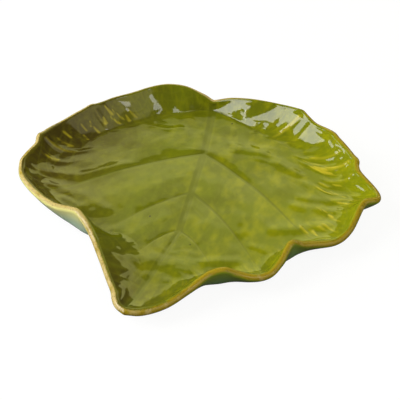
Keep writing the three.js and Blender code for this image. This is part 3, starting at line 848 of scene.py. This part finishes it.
def footRingTree():
    tree = bpy.data.node_groups.new("lutedFootRing", "GeometryNodeTree")
    for name in ("Radius", "Width", "Height", "Rounding", "Wobble"):
        tree.interface.new_socket(name, in_out="INPUT", socket_type="NodeSocketFloat")
    tree.interface.new_socket("Geometry", in_out="OUTPUT", socket_type="NodeSocketGeometry")
    sizes = addNode(tree, "NodeGroupInput").outputs
    ring = addNode(tree, "GeometryNodeCurvePrimitiveCircle", {"Resolution": footMesh["around"]},
                   {"Radius": sizes["Radius"]})
    bar = addNode(tree, "GeometryNodeCurvePrimitiveQuadrilateral",
                  links={"Width": sizes["Width"], "Height": sizes["Height"]})
    rounded = addNode(tree, "GeometryNodeFilletCurve", {"Count": footMesh["corner"]},
                      {"Curve": bar.outputs[0], "Radius": sizes["Rounding"]}, mode="POLY")
    swept = addNode(tree, "GeometryNodeCurveToMesh",
                    links={"Curve": ring.outputs[0], "Profile Curve": rounded.outputs[0]})
    noise = addNode(tree, "ShaderNodeTexNoise", {"Scale": 1 / footMesh["wobbleLength"], "Detail": 1.0},
                    noise_dimensions="3D")
    centred = addNode(tree, "ShaderNodeVectorMath", {1: (0.5, 0.5, 0.5)}, {0: noise.outputs["Color"]},
                      operation="SUBTRACT")
    level = addNode(tree, "ShaderNodeVectorMath", {1: (1.0, 1.0, 0.0)}, {0: centred.outputs[0]},
                    operation="MULTIPLY")
    shift = addNode(tree, "ShaderNodeVectorMath", links={0: level.outputs[0], "Scale": sizes["Wobble"]},
                    operation="SCALE")
    moved = addNode(tree, "GeometryNodeSetPosition",
                    links={"Geometry": swept.outputs[0], "Offset": shift.outputs[0]})
    smooth = addNode(tree, "GeometryNodeSetShadeSmooth", links={"Geometry": moved.outputs[0]})
    real = addNode(tree, "GeometryNodeRealizeInstances", links={"Geometry": smooth.outputs[0]})
    dressed = addNode(tree, "GeometryNodeSetMaterial", {"Material": clayMaterial},
                      {"Geometry": real.outputs[0]})
    addNode(tree, "NodeGroupOutput", links={"Geometry": dressed.outputs[0]})
    return tree


def footRing():
    maker = newObject("footRingMaker", bpy.data.meshes.new("footRingMaker"))
    modifier = maker.modifiers.new("ring", "NODES")
    modifier.node_group = footRingTree()
    for item in modifier.node_group.interface.items_tree:
        if item.in_out == "INPUT":
            modifier[item.identifier] = footLook[item.name.lower()]
    depsgraph = bpy.context.evaluated_depsgraph_get()
    mesh = bpy.data.meshes.new_from_object(maker.evaluated_get(depsgraph), depsgraph=depsgraph)
    maker.modifiers.remove(modifier)
    bpy.data.objects.remove(maker)
    points = np.array([v.co for v in mesh.vertices])
    points[:, 2] -= points[:, 2].min()
    points[:, :2] += (footCentre[:2] + frameShift[:2]) * mm
    mesh.vertices.foreach_set("co", points.astype(np.float32).ravel())
    mesh.name = "footRing"
    return newObject("footRing", mesh)


# Glaze in the recess, in mm: a disc, slightly out of round, that rounds over at its edge
baseLook = {
    "radius": 35.0, "rings": 14, "around": 128, "thickness": 0.4,
    "edge": ((0.3, 0.95), (0.08, 0.6), (0.0, 0.0)),  # in from the rim, and share of the thickness there
    "outOfRound": (0.004, 0.003),
}


def baseGlaze():
    look = baseLook
    count, thick = look["around"], look["thickness"]
    turn = np.arange(count) / count * 2 * np.pi
    loops = [(look["radius"] * k / look["rings"], -thick) for k in range(1, look["rings"])]
    loops += [(look["radius"] - inset, -thick * share) for inset, share in look["edge"]]
    middle = footCentre + frameShift
    points = [middle + [0, 0, -thick], middle]
    slow, quick = look["outOfRound"]
    for radius, drop in loops:
        wander = radius * (1 + slow * np.sin(3 * turn) + quick * np.sin(7 * turn + 1))
        ring = np.column_stack([wander * np.cos(turn), wander * np.sin(turn), np.full(count, drop)])
        points += list(ring + footCentre + frameShift)
    faces = []
    rim = 2 + (len(loops) - 1) * count
    for step in range(count):
        after = (step + 1) % count
        faces.append((0, 2 + after, 2 + step))
        for k in range(len(loops) - 1):
            low, high = 2 + k * count, 2 + (k + 1) * count
            faces.append((low + step, low + after, high + after, high + step))
        faces.append((rim + step, rim + after, 1))
    mesh = bpy.data.meshes.new("baseGlaze")
    mesh.from_pydata([tuple(p * mm) for p in points], [], faces)
    mesh.validate()
    mesh.shade_smooth()
    return newObject("baseGlaze", mesh)


foot = footRing()
base = baseGlaze()
print("foot ring and base glaze:", len(foot.data.polygons), len(base.data.polygons))

for piece, material, node, slotName in (
    (innerGlaze, greenMaterial, "inner_glaze", "green_glaze"),
    (lipGlaze, amberMaterial, "lip_glaze", "amber_glaze"),
    (outerGlaze, underMaterial, "outer_glaze", "blue_green_glaze"),
    (base, recessMaterial, "base_glaze", "base_glaze"),
    (clayBody, clayMaterial, "leaf_body", "body_clay"),
    (foot, clayMaterial, "foot_ring", "foot_clay"),
):
    piece.data.materials.clear()
    piece.data.materials.append(material)
    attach(piece, "root")
    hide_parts(node)

# Floor: a pale paper sweep that keeps a faint shadow and is nearly white to the camera
floorLook = {"halfSize": 3.0, "glow": 0.92, "mirrored": 0.02, "tone": "5a5a5a"}


def floorMaterial():
    material = bpy.data.materials.new("pale_paper_sweep")
    material.use_nodes = True
    tree = material.node_tree
    tree.nodes.clear()
    path = addNode(tree, "ShaderNodeLightPath").outputs
    mirrored = addNode(tree, "ShaderNodeMath", operation="MAXIMUM",
                       links={0: path["Is Glossy Ray"], 1: path["Is Transmission Ray"]})
    dimmed = addNode(tree, "ShaderNodeMath", {1: floorLook["mirrored"]}, {0: mirrored.outputs[0]},
                     operation="MULTIPLY")
    direct = addNode(tree, "ShaderNodeMath", {1: floorLook["glow"]}, {0: path["Is Camera Ray"]},
                     operation="MULTIPLY")
    glow = addNode(tree, "ShaderNodeMath", links={0: direct.outputs[0], 1: dimmed.outputs[0]},
                   operation="MAXIMUM")
    paper = addNode(tree, "ShaderNodeBsdfDiffuse", {"Color": linear(floorLook["tone"])})
    white = addNode(tree, "ShaderNodeEmission", {"Color": (1, 1, 1, 1)}, {"Strength": glow.outputs[0]})
    both = addNode(tree, "ShaderNodeAddShader", links={0: paper.outputs[0], 1: white.outputs[0]})
    addNode(tree, "ShaderNodeOutputMaterial", links={"Surface": both.outputs[0]})
    return material


half = floorLook["halfSize"]
floorMesh = bpy.data.meshes.new("paperFloor")
corners = [(-half, -half, 0), (half, -half, 0), (half, half, 0), (-half, half, 0)]
floorMesh.from_pydata(corners, [], [(0, 1, 2, 3)])
floorMesh.materials.append(floorMaterial())
floor = newObject("paperFloor", floorMesh)

# Room: white to the camera. In the glaze it shows as a pale wall behind the dish up to a sharp top edge,
# with a dark cupboard and a dark doorway before it, a pale side and dim elsewhere.
roomLook = {
    "wallTone": "fbfba4", "wallStrength": 1.7, "sideTone": "f6f0b8", "sideStrength": 1.35,
    "roomTone": "404040", "roomStrength": 1.0,
}
# Edges of each thing in the room: axis of the direction, start and stop of the change, values at both
roomEdges = {
    "wall": [
        ("Z", 0.741, 0.729, 0.0, 1.0), ("Z", 0.134, 0.146, 0.0, 1.0), ("Y", 0.25, 0.35, 0.0, 1.0),
        ("X", 0.6, 0.55, 0.0, 1.0), ("Z", 0.585, 0.66, 1.0, 0.6),  # the wall is dimmer towards its top
    ],
    "cupboard": [("X", -0.07, -0.05, 0.0, 1.0), ("X", 0.35, 0.33, 0.0, 1.0), ("Z", 0.5, 0.48, 0.0, 1.0)],
    "doorway": [("X", -0.32, -0.34, 0.0, 1.0), ("Z", 0.51, 0.49, 0.0, 1.0)],
    "side": [
        ("X", 0.5, 0.6, 0.0, 1.0), ("Y", 0.15, 0.05, 0.0, 1.0), ("Y", -0.72, -0.62, 0.0, 1.0),
        ("Z", 0.82, 0.72, 0.0, 1.0),
    ],
}


def toneOf(thing):
    strength = roomLook[thing + "Strength"]
    return tuple(c * strength for c in linear(roomLook[thing + "Tone"])[:3]) + (1.0,)


world = bpy.data.worlds.new("studio")
bpy.context.scene.world = world
world.use_nodes = True
tree = world.node_tree
tree.nodes.clear()
toSky = addNode(tree, "ShaderNodeTexCoord").outputs["Generated"]
sky = addNode(tree, "ShaderNodeSeparateXYZ", links={"Vector": toSky}).outputs
seen = {}
for thing, edges in roomEdges.items():
    for axis, start, stop, low, high in edges:
        values = {"From Min": start, "From Max": stop, "To Min": low, "To Max": high}
        past = addNode(tree, "ShaderNodeMapRange", values, {"Value": sky[axis]}).outputs[0]
        if thing in seen:
            links = {0: seen[thing], 1: past}
            past = addNode(tree, "ShaderNodeMath", links=links, operation="MULTIPLY").outputs[0]
        seen[thing] = past
for key, values, links, operation in (
    ("hidden", {}, {0: "cupboard", 1: "doorway"}, "MAXIMUM"),
    ("open", {0: 1.0}, {1: "hidden"}, "SUBTRACT"),
    ("wallSeen", {}, {0: "wall", 1: "open"}, "MULTIPLY"),
):
    links = {socket: seen[thing] for socket, thing in links.items()}
    seen[key] = addNode(tree, "ShaderNodeMath", values, links, operation=operation).outputs[0]
dim = addNode(tree, "ShaderNodeMix", {6: toneOf("room"), 7: toneOf("side")}, {0: seen["side"]},
              data_type="RGBA")
room = addNode(tree, "ShaderNodeMix", {7: toneOf("wall")}, {0: seen["wallSeen"], 6: dim.outputs[2]},
               data_type="RGBA")
toCamera = addNode(tree, "ShaderNodeLightPath").outputs["Is Camera Ray"]
skyColour = addNode(tree, "ShaderNodeMix", {7: (1, 1, 1, 1)}, {0: toCamera, 6: room.outputs[2]},
                    data_type="RGBA")
skyLight = addNode(tree, "ShaderNodeBackground", {"Strength": 1.0}, {"Color": skyColour.outputs[2]})
addNode(tree, "ShaderNodeOutputWorld", links={"Surface": skyLight.outputs[0]})

# Lamps are soft boxes aimed at the dish: direction, distance, width and height in m, and watts
lampLook = {
    "windowLeft": ((-0.640, -0.318, 0.700), 1.3, 0.75, 0.68, 9.2),
    "windowFrontLeft": ((-0.581, -0.771, 0.259), 1.3, 0.58, 0.8, 9.3),
    "windowFarLeft": ((-0.945, 0.05, 0.325), 1.3, 0.19, 0.17, 0.5),
    "doorFrontRight": ((0.515, -0.455, 0.727), 1.3, 0.12, 0.26, 0.42),
    "bounceLeft": ((-0.96, -0.22, 0.13), 1.5, 1.4, 1.4, 29.0),
    "bounceFrontRight": ((0.35, -0.45, 0.82), 1.5, 1.4, 1.4, 5.5),
}
for name, (direction, distance, width, tall, watts) in lampLook.items():
    lamp = bpy.data.lights.new(name, "AREA")
    lamp.shape = "RECTANGLE"
    lamp.size, lamp.size_y, lamp.energy = width, tall, watts
    box = newObject(name, lamp)
    toLamp = Vector(direction).normalized()
    box.location = toLamp * distance
    box.rotation_euler = toLamp.to_track_quat("Z", "Y").to_euler()
    box.visible_diffuse = name != "windowFrontLeft"  # this one only shows in the glaze
    box.visible_glossy = not name.startswith("bounce")  # these lift the shade without showing in the glaze

# Camera at the photograph's angle: 40 degrees up, a little to the right of the leaf's axis
viewing = {
    "azimuth": 14.37, "elevation": 40.0, "distance": 620.0, "target": (4.04, 0.83, 12.0),
    "focalPixels": 1116.0, "framePixels": 400, "sensor": 36.0,
}
azimuth, elevation = math.radians(viewing["azimuth"]), math.radians(viewing["elevation"])
level = math.cos(elevation)
back = np.array([math.sin(azimuth) * level, -math.cos(azimuth) * level, math.sin(elevation)])
camera = bpy.data.cameras.new("photoView")
camera.sensor_width = viewing["sensor"]
camera.lens = viewing["focalPixels"] / viewing["framePixels"] * camera.sensor_width
cameraObject = newObject("photoView", camera)
cameraObject.location = (np.array(viewing["target"]) + frameShift + back * viewing["distance"]) * mm
cameraObject.rotation_euler = (math.pi / 2 - elevation, 0.0, azimuth)
bpy.context.scene.camera = cameraObject
bpy.context.scene.view_settings.view_transform = "Standard"
print("stage, light and camera set")
